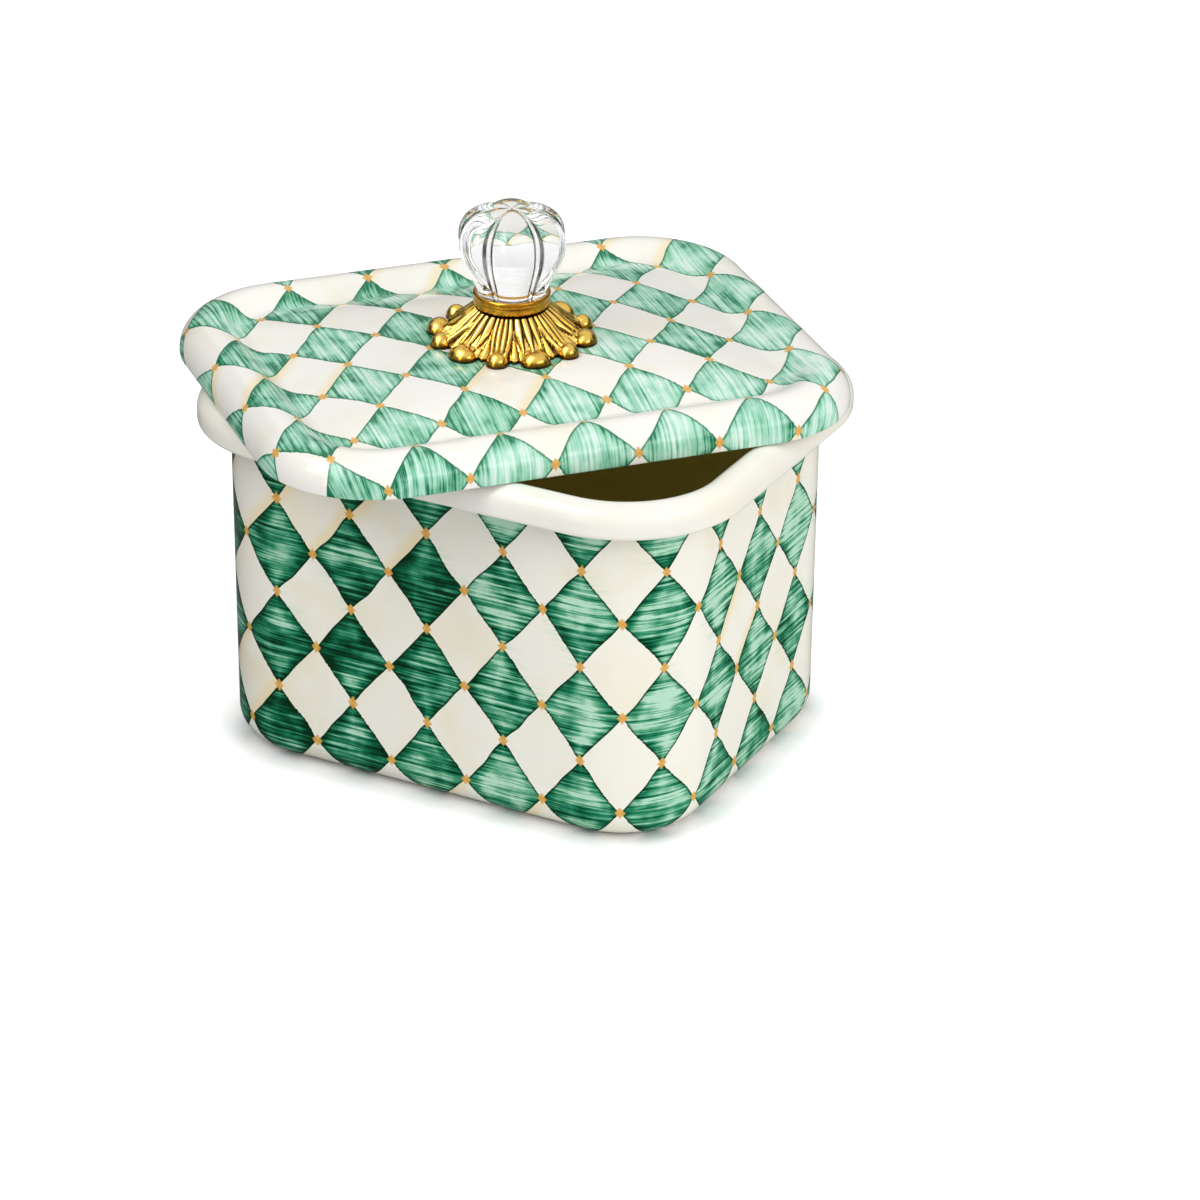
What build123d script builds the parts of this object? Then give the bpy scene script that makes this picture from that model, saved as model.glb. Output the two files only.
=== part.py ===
"""Recipe card box: enamelled sheet steel box with a loose lid and a glass knob.

Millimetres, +Z up. The origin is the centre of the box's flat base on the surface it stands on,
+X runs along the long side and -Y is the front. The lid lies askew on the rim, as when the box
has just been opened, with its own frame at the centre of its lower edge.
"""
import os
from math import atan2, cos, degrees, pi, radians, sin

from build123d import *

# Sheet and fits
SHEET = 1.2                 # enamelled steel, both coats included
LID_CLEARANCE = 1.3         # lid skirt to rim, each side, when the lid is closed
REST_GAP = 0.3              # lid edge above the top of the rim
RUNNING_GAP = 0.1           # flat faces that turn past each other
THREAD_CLEARANCE = 0.05     # radial, screw to its thread
PRESS_CLEARANCE = 0.05      # radial, pieces that are cemented or pushed together
HOLE_CLEARANCE = 0.6        # radial, screw to the hole in the lid

# Box
BOX_LENGTH = 171.8          # outside the wall at the rim
BOX_DEPTH = 134.4
BOX_CORNER_RADIUS = 30.8
BOX_HEIGHT = 123.6          # to the top of the rolled rim
BASE_EDGE_RADIUS = 9.9
WALL_TAPER = 0.7            # each wall leans in by this much at the base
ROLL_RADIUS = 6.0           # outside of the rolled rim
RIM_DROP = 10.6             # top of the rim to the bottom of its hem
HEM_RADIUS = 1.8
HEM_RETURN = 0.8            # flat lip past the hem's curl

# Lid, heights from its lower edge
LID_CORNER_EASE = 3.4       # lid corner radius is this much under the rim's
LID_SKIRT = 1.5
LID_RIDGE_INSET = 10.4
LID_VALLEY_INSET = 22.5
LID_VALLEY_DROP = 4.0       # ridge down to the edge of the panel
LID_CROWN_RISE = 5.35       # edge of the panel up to the knob's seat
LID_SEAT_ROUNDNESS = 0.45   # corner radius of the flat seat, as a share of its width
CROWN_STEPS = 4             # slices of the panel between its edge and the seat
LID_X = -6.8                # where the lid lies, and how far it is turned
LID_Y = 2.3
LID_TURN = 48.2

# Knob, heights from the lid's seat
KNOB_BASE_RADIUS = 24.4     # cast skirt, without its beads
KNOB_BASE_EDGE = 1.4
KNOB_BASE_HEIGHT = 11.9
KNOB_NECK_RADIUS = 10.8
KNOB_BASE_WALL = 1.4
SKIRT_WAIST = 0.36          # how far out the skirt's curve is, and how far down
KNOB_TOP_PLATE = 2.0
BEAD_PAIRS = 6              # large and small beads alternate round the skirt
LARGE_BEAD_RADIUS = 4.2
SMALL_BEAD_RADIUS = 3.8
BEAD_RING_RADIUS = 24.3
BEAD_LIFT = 0.4             # bead centres above the lid
BEAD_TURN = 17.5
COLLAR_RADIUS = 12.7
COLLAR_HEIGHT = 4.7
COLLAR_WALL = 1.4
COLLAR_FLOOR = 2.2
COLLAR_CHAMFER = 0.6
CEMENT_THICKNESS = 0.6      # white bed between the glass and the collar
HUB_RADIUS = 4.4
HUB_LENGTH = 5.6
LOBES = 6
POINTS_PER_LOBE = 8
GLASS_HEIGHT = 31.2         # seat in the collar to the crown of the glass
GLASS_RADIUS = 17.1         # mean of lobes and grooves at the widest
GLASS_NECK = 0.3            # the lobes start this far above the collar
GLASS_SHOULDER = 0.6        # and stand out from the round foot by this much
GLASS_WIDEST = 0.6          # share of the height where the lobes are widest
GLASS_GROOVE = 0.085        # depth of the grooves, as a share of the radius
GLASS_SWELL = 1.2           # over 1 keeps the glass slender above the collar
GLASS_DOME = 2.3            # roundness of the crown
GLASS_TURN = 0.5
SWELL_SHARES = (0.0, 0.25, 0.5, 0.75)           # slices from the neck to the widest part
DOME_SHARES = (0.0, 0.35, 0.65, 0.86, 0.97)     # slices from there to the crown

# Fastening
SCREW_RADIUS = 2.0
SCREW_THREAD = 4.6          # length held by the hub
SCREW_TIP_ROOM = 0.9         # past the screw's tip
SCREW_HEAD_RADIUS = 4.0
SCREW_HEAD_HEIGHT = 2.4
SLOT_WIDTH = 1.0
SLOT_DEPTH = 1.1
FLAT_WASHER_RADIUS = 6.0
FLAT_WASHER_THICKNESS = 1.0
RUBBER_WASHER_RADIUS = 6.8
RUBBER_WASHER_THICKNESS = 1.2

# Sizes that follow
RIM_OVERHANG = 2 * ROLL_RADIUS - SHEET
RIM_LENGTH = BOX_LENGTH + 2 * RIM_OVERHANG
RIM_DEPTH = BOX_DEPTH + 2 * RIM_OVERHANG
LID_LENGTH = RIM_LENGTH + 2 * (LID_CLEARANCE + SHEET)
LID_DEPTH = RIM_DEPTH + 2 * (LID_CLEARANCE + SHEET)
LID_CORNER_RADIUS = BOX_CORNER_RADIUS + RIM_OVERHANG - LID_CORNER_EASE
LID_RIDGE = LID_SKIRT + LID_RIDGE_INSET
LID_VALLEY = LID_RIDGE - LID_VALLEY_DROP
LID_SEAT = LID_VALLEY + LID_CROWN_RISE
LID_SEAT_SIZE = 2 * (BEAD_RING_RADIUS + LARGE_BEAD_RADIUS)
LID_EDGE_Z = BOX_HEIGHT + REST_GAP
LID_PLACE = Location((LID_X, LID_Y, LID_EDGE_Z), (0, 0, LID_TURN))
KNOB_PLACE = Location((LID_X, LID_Y, LID_EDGE_Z + LID_SEAT))
SEAT_HOLE_RADIUS = SCREW_RADIUS + HOLE_CLEARANCE


def arc(centre, radius, start, sweep):
    """Arc in the section plane, angles in degrees."""
    return CenterArc(centre, radius, start, sweep)


def ring(section, length, depth, radius):
    """Carry a section round a rounded rectangle: four straight runs and four quarter turns.

    The section's X is the distance outside the rectangle and its Y is the height.
    """
    straight_x = length - 2 * radius
    straight_y = depth - 2 * radius
    pieces = []
    for turn, run, reach in ((0, straight_x, depth / 2), (90, straight_y, length / 2),
                             (180, straight_x, depth / 2), (270, straight_y, length / 2)):
        plane = Plane(origin=(run / 2, -reach, 0), x_dir=(0, -1, 0), z_dir=(-1, 0, 0))
        side = extrude(plane * section, run)
        pieces.append(side.rotate(Axis.Z, turn))
    for turn, x, y in ((0, 1, -1), (90, 1, 1), (180, -1, 1), (270, -1, -1)):
        plane = Plane(origin=(0, -radius, 0), x_dir=(0, -1, 0), z_dir=(-1, 0, 0))
        corner = revolve(plane * section, Axis.Z, 90).rotate(Axis.Z, turn)
        pieces.append(Pos(x * straight_x / 2, y * straight_y / 2, 0) * corner)
    return pieces[0].fuse(*pieces[1:]).clean()


def box_section():
    """Wall from the flat base, round the base edge, up the wall and over the rolled rim."""
    base_x = -WALL_TAPER - BASE_EDGE_RADIUS
    roll_x = ROLL_RADIUS - SHEET
    roll_z = BOX_HEIGHT - ROLL_RADIUS
    nose = RIM_OVERHANG
    hem_x = nose - HEM_RADIUS
    hem_z = BOX_HEIGHT - RIM_DROP + HEM_RADIUS
    lip_x = hem_x - HEM_RETURN
    edges = [
        Line((base_x, 0), (base_x, SHEET)),
        arc((base_x, BASE_EDGE_RADIUS), BASE_EDGE_RADIUS - SHEET, 270, 90),
        Line((-WALL_TAPER - SHEET, BASE_EDGE_RADIUS), (-SHEET, roll_z)),
        arc((roll_x, roll_z), ROLL_RADIUS, 180, -180),
        Line((nose, roll_z), (nose, hem_z)),
        arc((hem_x, hem_z), HEM_RADIUS, 0, -90),
        Line((hem_x, hem_z - HEM_RADIUS), (lip_x, hem_z - HEM_RADIUS)),
        Line((lip_x, hem_z - HEM_RADIUS), (lip_x, hem_z - HEM_RADIUS + SHEET)),
        Line((lip_x, hem_z - HEM_RADIUS + SHEET), (hem_x, hem_z - HEM_RADIUS + SHEET)),
        arc((hem_x, hem_z), HEM_RADIUS - SHEET, 270, 90),
        Line((nose - SHEET, hem_z), (nose - SHEET, roll_z)),
        arc((roll_x, roll_z), ROLL_RADIUS - SHEET, 0, 180),
        Line((0, roll_z), (-WALL_TAPER, BASE_EDGE_RADIUS)),
        arc((base_x, BASE_EDGE_RADIUS), BASE_EDGE_RADIUS, 0, -90),
    ]
    return make_face(edges)


def make_box_body():
    inset = WALL_TAPER + BASE_EDGE_RADIUS
    floor = RectangleRounded(BOX_LENGTH - 2 * inset, BOX_DEPTH - 2 * inset, BOX_CORNER_RADIUS - inset)
    wall = ring(box_section(), BOX_LENGTH, BOX_DEPTH, BOX_CORNER_RADIUS)
    return wall.fuse(extrude(floor, SHEET)).clean()


def lid_section():
    """Skirt, rounded border and the slope down to the edge of the panel."""
    run = LID_VALLEY_INSET - LID_RIDGE_INSET
    slope = 2 * atan2(LID_VALLEY_DROP, run)
    bend = run / (2 * sin(slope))
    slope = degrees(slope)
    ridge = (-LID_RIDGE_INSET, LID_RIDGE - bend)
    valley = (-LID_VALLEY_INSET, LID_VALLEY + bend)
    shoulder = (-LID_RIDGE_INSET, LID_SKIRT)
    edges = [
        Line((-SHEET, 0), (0, 0)),
        Line((0, 0), (0, LID_SKIRT)),
        arc(shoulder, LID_RIDGE_INSET, 0, 90),
        arc(ridge, bend, 90, slope),
        arc(valley, bend, 270 + slope, -slope),
        Line((-LID_VALLEY_INSET, LID_VALLEY), (-LID_VALLEY_INSET, LID_VALLEY - SHEET)),
        arc(valley, bend + SHEET, 270, slope),
        arc(ridge, bend - SHEET, 90 + slope, -slope),
        arc(shoulder, LID_RIDGE_INSET - SHEET, 90, -90),
        Line((-SHEET, LID_SKIRT), (-SHEET, 0)),
    ]
    return make_face(edges)


def crown(drop):
    """Solid under the crowned panel, from the panel's edge up to the flat seat."""
    length = LID_LENGTH - 2 * LID_VALLEY_INSET
    depth = LID_DEPTH - 2 * LID_VALLEY_INSET
    corner = LID_CORNER_RADIUS - LID_VALLEY_INSET
    sections = []
    for step in range(CROWN_STEPS + 1):
        share = step / CROWN_STEPS
        outline = RectangleRounded(length + (LID_SEAT_SIZE - length) * share,
                                   depth + (LID_SEAT_SIZE - depth) * share,
                                   corner + (LID_SEAT_ROUNDNESS * LID_SEAT_SIZE - corner) * share)
        height = LID_VALLEY + LID_CROWN_RISE * sin(share * pi / 2)
        sections.append(Pos(0, 0, height - drop) * outline)
    return loft(sections)


def make_lid_pan():
    length = LID_LENGTH - 2 * LID_VALLEY_INSET
    depth = LID_DEPTH - 2 * LID_VALLEY_INSET
    outline = RectangleRounded(length, depth, LID_CORNER_RADIUS - LID_VALLEY_INSET)
    edge = Pos(0, 0, LID_VALLEY - SHEET) * extrude(outline, SHEET)
    panel = edge + crown(0) - crown(SHEET)
    panel -= Pos(0, 0, LID_SEAT) * Cylinder(SEAT_HOLE_RADIUS, 4 * SHEET)
    border = ring(lid_section(), LID_LENGTH, LID_DEPTH, LID_CORNER_RADIUS)
    return LID_PLACE * (border + panel)


def make_knob_base():
    """Cast skirt, hollow below, with a flat top for the collar and beads round its edge."""
    top = KNOB_BASE_HEIGHT
    wall = KNOB_BASE_WALL
    waist = (KNOB_NECK_RADIUS + SKIRT_WAIST * (KNOB_BASE_RADIUS - KNOB_NECK_RADIUS), top * (1 - SKIRT_WAIST))
    outside = make_face([
        Spline((KNOB_NECK_RADIUS, top), waist, (KNOB_BASE_RADIUS, KNOB_BASE_EDGE)),
        Line((KNOB_BASE_RADIUS, KNOB_BASE_EDGE), (KNOB_BASE_RADIUS, 0)),
        Line((KNOB_BASE_RADIUS, 0), (0, 0)),
        Line((0, 0), (0, top)),
        Line((0, top), (KNOB_NECK_RADIUS, top)),
    ])
    ceiling = top - KNOB_TOP_PLATE
    hollow = make_face([
        Spline((KNOB_NECK_RADIUS - wall, ceiling), (waist[0] - wall, waist[1] - wall),
               (KNOB_BASE_RADIUS - 2 * wall, 0)),
        Line((KNOB_BASE_RADIUS - 2 * wall, 0), (0, 0)),
        Line((0, 0), (0, ceiling)),
        Line((0, ceiling), (KNOB_NECK_RADIUS - wall, ceiling)),
    ])
    skirt = revolve(Plane.XZ * outside, Axis.Z) - revolve(Plane.XZ * hollow, Axis.Z)
    beads = []
    for index in range(2 * BEAD_PAIRS):
        radius = LARGE_BEAD_RADIUS if index % 2 == 0 else SMALL_BEAD_RADIUS
        turn = radians(BEAD_TURN + 180 * index / BEAD_PAIRS)
        centre = (BEAD_RING_RADIUS * cos(turn), BEAD_RING_RADIUS * sin(turn), BEAD_LIFT)
        beads.append(Pos(*centre) * Sphere(radius))
    base = skirt.fuse(*beads)
    reach = 2 * (BEAD_RING_RADIUS + LARGE_BEAD_RADIUS)
    base -= Pos(0, 0, -reach / 2) * Box(2 * reach, 2 * reach, reach)
    base -= Cylinder(HUB_RADIUS + PRESS_CLEARANCE, 3 * top)
    return KNOB_PLACE * base


def make_knob_collar():
    """Cup for the glass, with a threaded hub that plugs into the skirt."""
    bottom = KNOB_BASE_HEIGHT
    cup = bottom_cylinder(COLLAR_RADIUS, bottom, COLLAR_HEIGHT)
    cup = chamfer(cup.edges().group_by(Axis.Z)[0], COLLAR_CHAMFER)
    bowl = bottom_cylinder(COLLAR_RADIUS - COLLAR_WALL, bottom + COLLAR_FLOOR, COLLAR_HEIGHT)
    hub = bottom_cylinder(HUB_RADIUS, bottom - HUB_LENGTH, HUB_LENGTH)
    thread = bottom_cylinder(SCREW_RADIUS + THREAD_CLEARANCE, bottom - HUB_LENGTH,
                             SCREW_THREAD + SCREW_TIP_ROOM)
    return KNOB_PLACE * ((cup - bowl + hub) - thread)


def lobed_outline(radius, groove, height):
    """Closed curve with LOBES round lobes and a groove between each pair."""
    steps = POINTS_PER_LOBE * LOBES
    points = []
    for step in range(steps):
        angle = 2 * pi * step / steps
        dip = 1 - abs(cos(LOBES * angle / 2))
        reach = radius * (1 + groove - 2 * groove * dip)
        points.append((reach * cos(angle), reach * sin(angle)))
    return Pos(0, 0, height) * make_face(Spline(*points, periodic=True))


def make_glass_knob():
    """Melon of clear glass: a round foot in the collar, lobes that swell and close at the crown."""
    foot = KNOB_BASE_HEIGHT + COLLAR_FLOOR + CEMENT_THICKNESS
    neck = KNOB_BASE_HEIGHT + COLLAR_HEIGHT + GLASS_NECK
    crown_z = foot + GLASS_HEIGHT
    widest = neck + GLASS_WIDEST * (crown_z - neck)
    foot_radius = COLLAR_RADIUS - COLLAR_WALL - PRESS_CLEARANCE
    neck_radius = foot_radius + GLASS_SHOULDER
    sections = []
    for share in SWELL_SHARES:
        swell = sin(share * pi / 2) ** GLASS_SWELL
        radius = neck_radius + (GLASS_RADIUS - neck_radius) * swell
        sections.append(lobed_outline(radius, GLASS_GROOVE * swell, neck + share * (widest - neck)))
    for share in DOME_SHARES:
        radius = GLASS_RADIUS * (1 - share ** GLASS_DOME) ** (1 / GLASS_DOME)
        sections.append(lobed_outline(radius, GLASS_GROOVE, widest + share * (crown_z - widest)))
    glass = loft(sections).fuse(bottom_cylinder(foot_radius, foot, neck - foot))
    return KNOB_PLACE * glass.rotate(Axis.Z, GLASS_TURN)


def make_glass_cement():
    """Thin disc of white cement under the glass."""
    radius = COLLAR_RADIUS - COLLAR_WALL
    return KNOB_PLACE * bottom_cylinder(radius, KNOB_BASE_HEIGHT + COLLAR_FLOOR, CEMENT_THICKNESS)


def bottom_cylinder(radius, bottom, height):
    """Cylinder that stands on the given height."""
    return Pos(0, 0, bottom + height / 2) * Cylinder(radius, height)


def washer(radius, hole, top, thickness):
    """Washer that hangs from the given height under the lid's seat."""
    disc = bottom_cylinder(radius, top - thickness, thickness)
    return KNOB_PLACE * (disc - bottom_cylinder(hole, top - 2 * thickness, 3 * thickness))


def make_knob_screw():
    """Slotted pan head screw, up through the lid and the skirt into the collar's hub."""
    top = -SHEET - RUBBER_WASHER_THICKNESS - RUNNING_GAP - FLAT_WASHER_THICKNESS
    tip = KNOB_BASE_HEIGHT - HUB_LENGTH + SCREW_THREAD
    head = bottom_cylinder(SCREW_HEAD_RADIUS, top - SCREW_HEAD_HEIGHT, SCREW_HEAD_HEIGHT)
    head = fillet(head.edges().group_by(Axis.Z)[0], SCREW_HEAD_HEIGHT / 3)
    slot = Pos(0, 0, top - SCREW_HEAD_HEIGHT) * Box(3 * SCREW_HEAD_RADIUS, SLOT_WIDTH, 2 * SLOT_DEPTH)
    shank = bottom_cylinder(SCREW_RADIUS, top, tip - top)
    shank = chamfer(shank.edges().group_by(Axis.Z)[-1], SCREW_RADIUS / 4)
    return KNOB_PLACE * (head - slot + shank)


def build():
    flat_washer_top = -SHEET - RUBBER_WASHER_THICKNESS - RUNNING_GAP
    return {
        "box_body": make_box_body(),
        "lid_pan": make_lid_pan(),
        "knob_base": make_knob_base(),
        "knob_collar": make_knob_collar(),
        "glass_cement": make_glass_cement(),
        "glass_knob": make_glass_knob(),
        "rubber_washer": washer(RUBBER_WASHER_RADIUS, SCREW_RADIUS + RUNNING_GAP, -SHEET,
                                RUBBER_WASHER_THICKNESS),
        "flat_washer": washer(FLAT_WASHER_RADIUS, SCREW_RADIUS + THREAD_CLEARANCE, flat_washer_top,
                              FLAT_WASHER_THICKNESS),
        "knob_screw": make_knob_screw(),
    }


if __name__ == "__main__":
    os.makedirs("parts", exist_ok=True)
    for name, solid in build().items():
        export_step(solid, f"parts/{name}.step")
        print(name, len(solid.solids()), round(solid.volume), solid.is_valid)
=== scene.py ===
"""Looks of the recipe card box: painted enamel, cast brass and fluted glass.

Shapes are written in millimetres, as in the part's source, and turned into metres when a mesh is
made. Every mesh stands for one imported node, and the screw, its washers and the cement stay as
packed.
"""
from math import acos, atan2, cos, degrees, hypot, pi, radians, sin

import bpy
from mathutils import Euler, Matrix, Vector


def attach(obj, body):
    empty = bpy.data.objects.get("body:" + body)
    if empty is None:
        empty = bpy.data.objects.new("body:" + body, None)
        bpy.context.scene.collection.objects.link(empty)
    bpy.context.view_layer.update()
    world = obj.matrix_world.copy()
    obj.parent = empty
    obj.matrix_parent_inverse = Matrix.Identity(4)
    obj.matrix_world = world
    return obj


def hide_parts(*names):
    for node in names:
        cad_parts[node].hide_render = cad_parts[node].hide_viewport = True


MM = 0.001

# Box
SHEET = 1.2
BOX_LENGTH = 171.8
BOX_DEPTH = 134.4
BOX_CORNER_RADIUS = 30.8
BOX_HEIGHT = 123.6
BASE_EDGE_RADIUS = 9.9
WALL_TAPER = 0.7
ROLL_RADIUS = 6.0
RIM_DROP = 10.6
HEM_RADIUS = 1.8
HEM_RETURN = 0.8
RIM_OVERHANG = 2 * ROLL_RADIUS - SHEET
PATTERN_TOP = 113.4         # the painted pattern ends up here, behind the hem
LINING_TOP = 117.0          # the lining ends up here, inside the roll

# Lid, heights from its lower edge
LID_CLEARANCE = 1.3
LID_CORNER_EASE = 3.4
LID_GROWTH = RIM_OVERHANG + LID_CLEARANCE + SHEET
LID_LENGTH = BOX_LENGTH + 2 * LID_GROWTH
LID_DEPTH = BOX_DEPTH + 2 * LID_GROWTH
LID_CORNER_RADIUS = BOX_CORNER_RADIUS + RIM_OVERHANG - LID_CORNER_EASE
LID_SKIRT = 1.5
LID_RIDGE_INSET = 10.4
LID_VALLEY_INSET = 22.5
LID_VALLEY_DROP = 4.0
LID_CROWN_RISE = 5.35
LID_RIDGE = LID_SKIRT + LID_RIDGE_INSET
LID_VALLEY = LID_RIDGE - LID_VALLEY_DROP
LID_SEAT = LID_VALLEY + LID_CROWN_RISE
LID_SEAT_SIZE = 57.0
LID_SEAT_CORNER = 25.65
LID_HOLE_RADIUS = 2.6
LID_X = -6.8
LID_Y = 2.3
LID_TURN = 48.2
LID_EDGE_Z = BOX_HEIGHT + 0.3
LID_PLACE = (Matrix.Translation((LID_X, LID_Y, LID_EDGE_Z))
             @ Matrix.Rotation(radians(LID_TURN), 4, "Z"))
KNOB_PLACE = Matrix.Translation((LID_X, LID_Y, LID_EDGE_Z + LID_SEAT))

# Knob's cast skirt, heights from the lid's seat
SKIRT_RADIUS = 24.4
SKIRT_NECK = 10.8
SKIRT_HEIGHT = 11.9
SKIRT_EDGE = 1.4
SKIRT_BORE = 4.45
SKIRT_TIP_INSET = 1.3
SKIRT_ROWS = 56
SKIRT_COLUMNS = 360
SKIRT_INSIDE = ((SKIRT_BORE, SKIRT_HEIGHT - 2.0), (SKIRT_NECK - 1.6, SKIRT_HEIGHT - 2.0),
                (15.0, 5.0), (21.0, 0.6), (21.6, 0.0))      # radius and height down the hollow
BEAD_PAIRS = 6
BEAD_RING_RADIUS = 24.3
BEADS = ((4.0, 5.0, 4.1), (3.5, 3.6, 4.1))      # out, across and up, large and small
BEAD_LIFT = 0.3
BEAD_TURN = 17.5
BEAD_ROWS = 15
BEAD_COLUMNS = 36
PETALS = ((16.5, 3), (13.5, 4))     # half width in degrees and ribs, large and small
PETAL_BULGE = 0.5
RIB_HEIGHT = 1.0
PETAL_CRESTS = (0.8, 0.5)           # height of the hump before the bead, large and small
CREST_START = 0.74                  # where that hump starts and ends, as shares of the way down
CREST_END = 0.94
LEAF_HEIGHT = 0.75
LEAF_ROOT = 0.25                    # how far a leaf's sides lie under the plain skirt
SCALLOP = 0.9                       # how far a petal's tip stands out
NOTCH = 1.1                         # how far the edge is cut in between tips

# Knob's collar and glass
COLLAR_RADIUS = 12.7
COLLAR_HEIGHT = 4.7
COLLAR_WALL = 1.4
COLLAR_FLOOR = 2.2
COLLAR_COLUMNS = 96
HUB_RADIUS = 4.4
HUB_LENGTH = 5.6
CEMENT_THICKNESS = 0.6
LOBES = 6
LOBE_COLUMNS = 60
GLASS_FOOT = SKIRT_HEIGHT + COLLAR_FLOOR + CEMENT_THICKNESS
GLASS_NECK = SKIRT_HEIGHT + COLLAR_HEIGHT + 0.3
GLASS_CROWN = GLASS_FOOT + 31.05
GLASS_WIDEST = GLASS_NECK + 0.6 * (GLASS_CROWN - GLASS_NECK)
GLASS_RADIUS = 17.1
GLASS_SHOULDER = 0.15
GLASS_SWELL = 1.4
GLASS_DOME = 2.3
GLASS_GROOVE = 0.085
NECK_GROOVE = 0.45          # share of the grooves' depth that they keep at the neck
GLASS_TURN = 0.5
CROWN_DIMPLE = 0.7
CROWN_DIMPLE_RADIUS = 4.5

# Painted diamonds
DIAMOND_WIDTH = 27.97       # twenty go round the box
DIAMOND_HEIGHT = 34.0
DIAMONDS_ROUND = 20
WANDER = 2.6                # how far the diamonds' sides stray
BRISTLE = 0.55              # and how ragged they are
STROKE_SCALE = 0.95
STROKE_STRETCH = 0.03       # scale along a stroke, to 1 across it
STROKE_SHIFT = 90.0         # moves the strokes from one diamond to the next

# Mesh columns round the box and the lid
LONG_SIDE_COLUMNS = 48
SHORT_SIDE_COLUMNS = 32
CORNER_COLUMNS = 26

# Set, in metres and degrees. Azimuth 0 is in front of the box, 90 to the right
FLOOR_Z = -0.0002           # just under the box's base
FLOOR_REACH = 6.0
LAMP_TARGET = Vector((0, 0, 0.09))
LAMPS = (("key", 74, 30, 1.6, (1.1, 0.35), 3.35), ("fill", -30, 46, 1.3, (0.5, 0.9), 5.1))
FLAG_DISTANCE = 1.2
FLAG_HEIGHT = 0.8
FLAGS = (("left_flag", -80, 0.6), ("right_flag", 108, 0.4),
         ("far_left_flag", -118, 0.35), ("far_right_flag", 150, 0.5))
CAMERA_PLACE = (0.72379, -1.32754, 0.79066)
CAMERA_ANGLES = (27.667, 26.283, 0.540)     # heading, pitch and roll
CAMERA_LENS = 151.62


def smoothstep(low, high, value):
    share = min(max((value - low) / (high - low), 0.0), 1.0)
    return share * share * (3 - 2 * share)


def spread(first, last, count):
    """Evenly spaced numbers, both ends included."""
    return [first + (last - first) * step / (count - 1) for step in range(count)]


def arc(centre, radius, start, end, count):
    """Points of a section's arc, angles in degrees."""
    return [(centre[0] + radius * cos(radians(turn)), centre[1] + radius * sin(radians(turn)))
            for turn in spread(start, end, count)]


def line(first, last, count):
    return list(zip(spread(first[0], last[0], count), spread(first[1], last[1], count)))


def lengths(section):
    """Distance along a section to each of its points."""
    run = [0.0]
    for before, after in zip(section, section[1:]):
        run.append(run[-1] + hypot(after[0] - before[0], after[1] - before[1]))
    return run


def polar(radius, turn, height):
    """A point from its radius, its angle in radians and its height."""
    return radius * cos(turn), radius * sin(turn), height


def circle(radius, height, count):
    return [polar(radius, 2 * pi * step / count, height) for step in range(count)]


class Column:
    """A place on a rounded rectangle, with its outward direction and its distance round."""

    def __init__(self, x, y, out_x, out_y):
        self.place = Vector((x, y))
        self.out = Vector((out_x, out_y))
        self.distance = 0.0

    def point(self, offset, height):
        spot = self.place + self.out * offset
        return spot.x, spot.y, height


def outline(length, depth, radius):
    """Columns round a rounded rectangle, anticlockwise from the middle of its back."""
    half_x = length / 2 - radius
    half_y = depth / 2 - radius
    columns = []

    def straight(start, end, out, count):
        for share in spread(0.0, 1.0, count + 1)[:-1]:
            x = start[0] + (end[0] - start[0]) * share
            y = start[1] + (end[1] - start[1]) * share
            columns.append(Column(x, y, *out))

    def corner(x, y, start):
        for turn in spread(start, start + 90, CORNER_COLUMNS + 1)[:-1]:
            out = (cos(radians(turn)), sin(radians(turn)))
            columns.append(Column(x + radius * out[0], y + radius * out[1], *out))

    straight((0, depth / 2), (-half_x, depth / 2), (0, 1), LONG_SIDE_COLUMNS // 2)
    corner(-half_x, half_y, 90)
    straight((-length / 2, half_y), (-length / 2, -half_y), (-1, 0), SHORT_SIDE_COLUMNS)
    corner(-half_x, -half_y, 180)
    straight((-half_x, -depth / 2), (half_x, -depth / 2), (0, -1), LONG_SIDE_COLUMNS)
    corner(half_x, -half_y, 270)
    straight((length / 2, -half_y), (length / 2, half_y), (1, 0), SHORT_SIDE_COLUMNS)
    corner(half_x, half_y, 0)
    straight((half_x, depth / 2), (0, depth / 2), (0, 1), LONG_SIDE_COLUMNS // 2)
    for before, after in zip(columns, columns[1:]):
        after.distance = before.distance + (after.place - before.place).length
    return columns


def new_object(name, points, faces):
    """Makes a mesh object in the scene, from points in metres."""
    mesh = bpy.data.meshes.new(name)
    mesh.from_pydata(points, [], faces)
    thing = bpy.data.objects.new(name, mesh)
    bpy.context.scene.collection.objects.link(thing)
    return thing


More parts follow.
